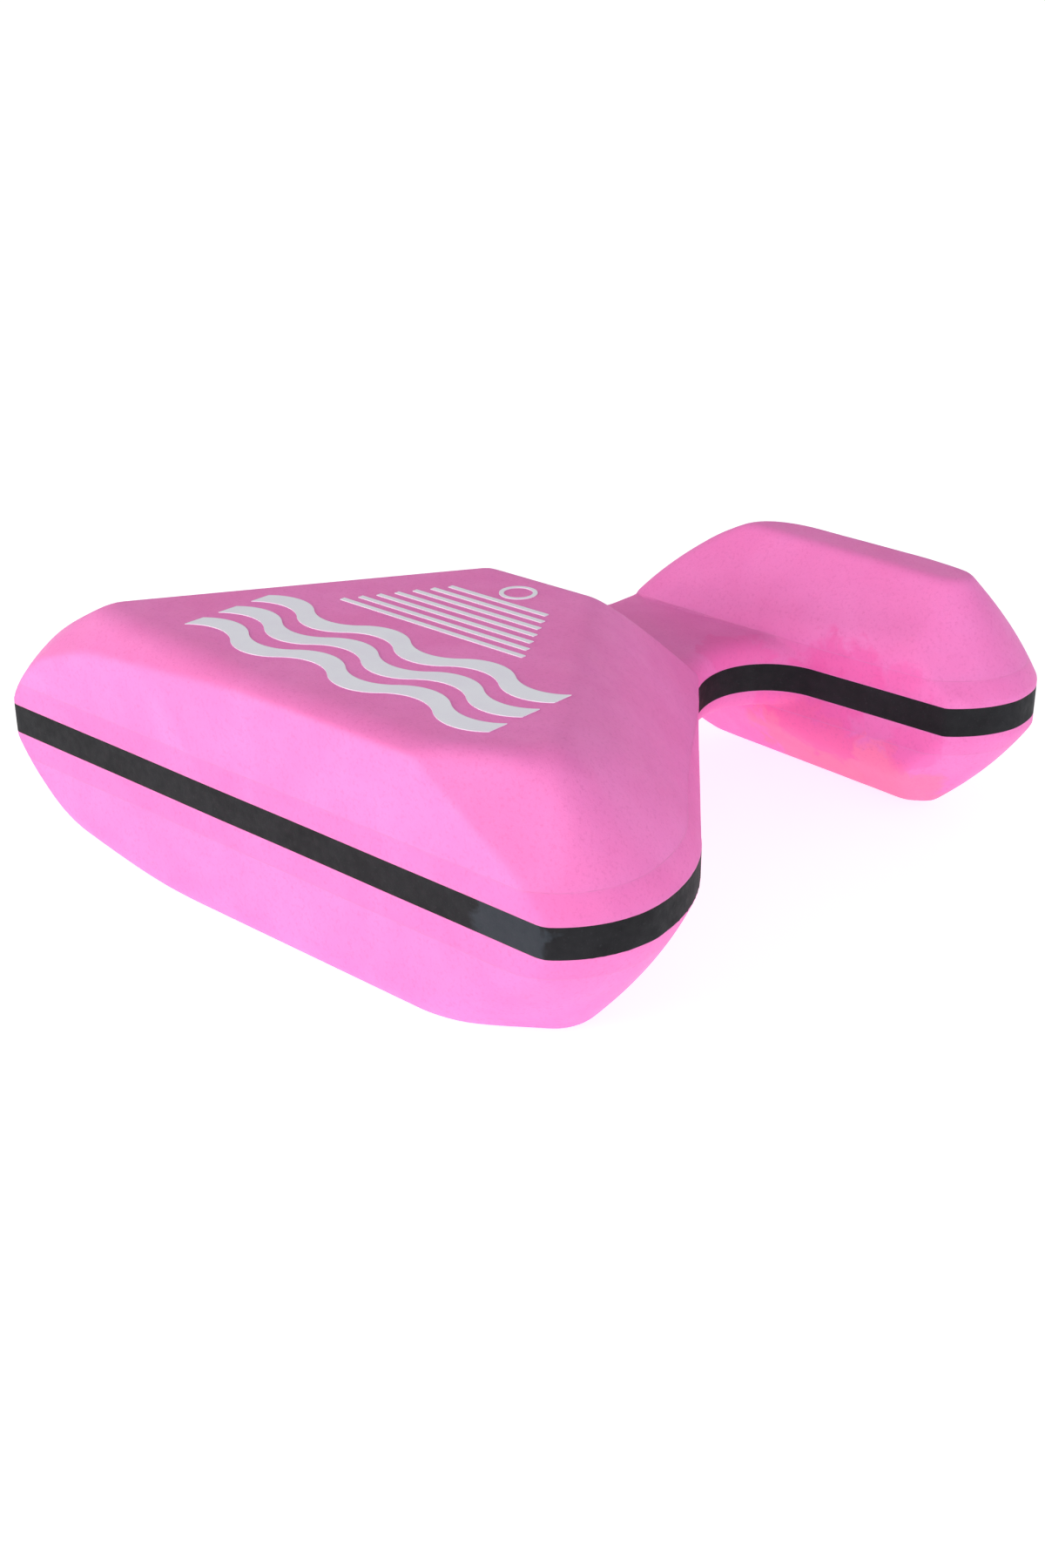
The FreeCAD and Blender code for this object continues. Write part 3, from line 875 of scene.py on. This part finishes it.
def make_floor():
    height = cad_box[0][2] - FLOOR_GAP
    bpy.ops.mesh.primitive_plane_add(size=FLOOR_SIZE, location=(0, 0, height))
    floor = bpy.context.object
    floor.name = "studio_floor"
    shader = Shader("studio_floor")
    haze = shader.noise(3.0)
    shader.feed("Base Color", shader.mix(haze, (0.70, 0.70, 0.70), (0.74, 0.74, 0.74)))
    shader.feed("Roughness", 0.8)
    shader.feed("Emission Color", shader.mix(haze, (0.98, 0.98, 1.0), (1.0, 1.0, 1.0)))
    shader.feed("Emission Strength", FLOOR_GLOW)
    floor.data.materials.append(shader.material)


def area_light(name, place, size, power, color):
    """A soft rectangular lamp that points at the middle of the part."""
    data = bpy.data.lights.new(name, "AREA")
    data.shape = "RECTANGLE"
    data.size, data.size_y = size
    data.energy = power
    data.color = color
    lamp = bpy.data.objects.new(name, data)
    lamp.location = place
    aim = Vector((0.0, 0.0, MID_Z * MM)) - Vector(place)
    lamp.rotation_euler = aim.to_track_quat("-Z", "Y").to_euler()
    bpy.context.scene.collection.objects.link(lamp)


def make_lights():
    area_light("key", (-0.45, -1.20, 0.42), (0.8, 0.6), 8.7, (1.0, 0.98, 0.88))
    area_light("fill", (1.05, -0.55, 0.30), (0.6, 0.5), 3.0, (1.0, 0.99, 1.0))


def make_world():
    """A white surround that is bright at the horizon and dimmer overhead."""
    world = bpy.data.worlds.new("studio")
    world.use_nodes = True
    tree = world.node_tree
    place = tree.nodes.new("ShaderNodeTexCoord").outputs["Generated"]
    split = tree.nodes.new("ShaderNodeSeparateXYZ")
    tree.links.new(place, split.inputs["Vector"])
    ramp = tree.nodes.new("ShaderNodeMapRange")
    tree.links.new(split.outputs["Z"], ramp.inputs["Value"])
    ramp.inputs["From Min"].default_value = HORIZON_HEIGHTS[0]
    ramp.inputs["From Max"].default_value = HORIZON_HEIGHTS[1]
    ramp.inputs["To Min"].default_value = HORIZON_GLOW
    ramp.inputs["To Max"].default_value = OVERHEAD_GLOW
    background = tree.nodes["Background"]
    tree.links.new(ramp.outputs["Result"], background.inputs["Strength"])
    background.inputs["Color"].default_value = (0.99, 0.99, 1.0, 1.0)
    bpy.context.scene.world = world


def make_camera():
    """The viewpoint: in front of the wide end, to the notch's side and well above."""
    data = bpy.data.cameras.new("camera")
    data.sensor_width = 36.0
    data.lens = CAMERA_LENS
    camera = bpy.data.objects.new("camera", data)
    camera.location = CAMERA_PLACE
    camera.rotation_euler = (math.radians(90) + CAMERA_PITCH, 0.0, CAMERA_TURN)
    bpy.context.scene.collection.objects.link(camera)
    bpy.context.scene.camera = camera


make_camera()
make_lights()
make_world()
make_floor()
make_foam_and_films()
dress_prints()

bpy.context.scene.view_settings.view_transform = "Standard"
bpy.context.view_layer.update()
